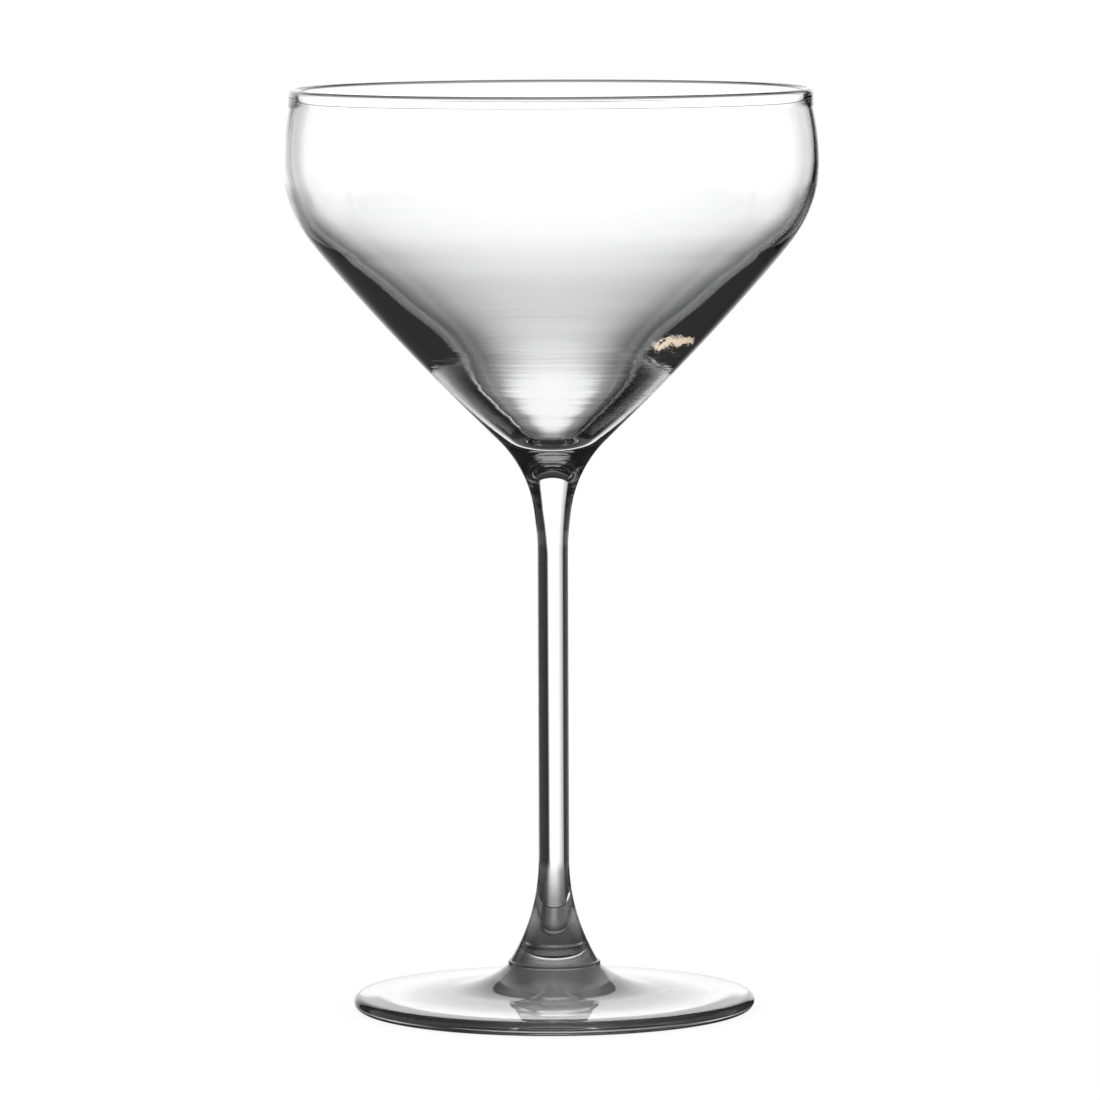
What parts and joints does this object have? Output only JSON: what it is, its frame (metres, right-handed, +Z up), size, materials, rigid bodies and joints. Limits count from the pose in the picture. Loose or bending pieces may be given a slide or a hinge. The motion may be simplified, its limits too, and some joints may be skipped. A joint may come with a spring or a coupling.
{
  "type": "coupe glass",
  "caption": "Stemmed coupe drinking glass in clear glass: a wide bowl with a rounded lip tapers to a slim flared stem on a round shallow foot.",
  "frame": {"origin": "middle of the flat ring that the foot rests on, at table height", "axes": "+Z up along the axis of the glass, +X to the right and -Y towards the viewer of the picture; the glass is round, so X and Y are interchangeable"},
  "size_m": [0.1024, 0.1024, 0.176],
  "materials": {
    "bowl_glass": "clear, blown and fire-polished",
    "stem_glass": "clear, drawn and fire-polished",
    "foot_glass": "clear, pressed and fire-polished, lightly worn resting ring"
  },
  "bodies": {
    "root": {"bowl": "bowl_glass", "stem": "stem_glass", "foot": "foot_glass"}
  },
  "joints": []
}
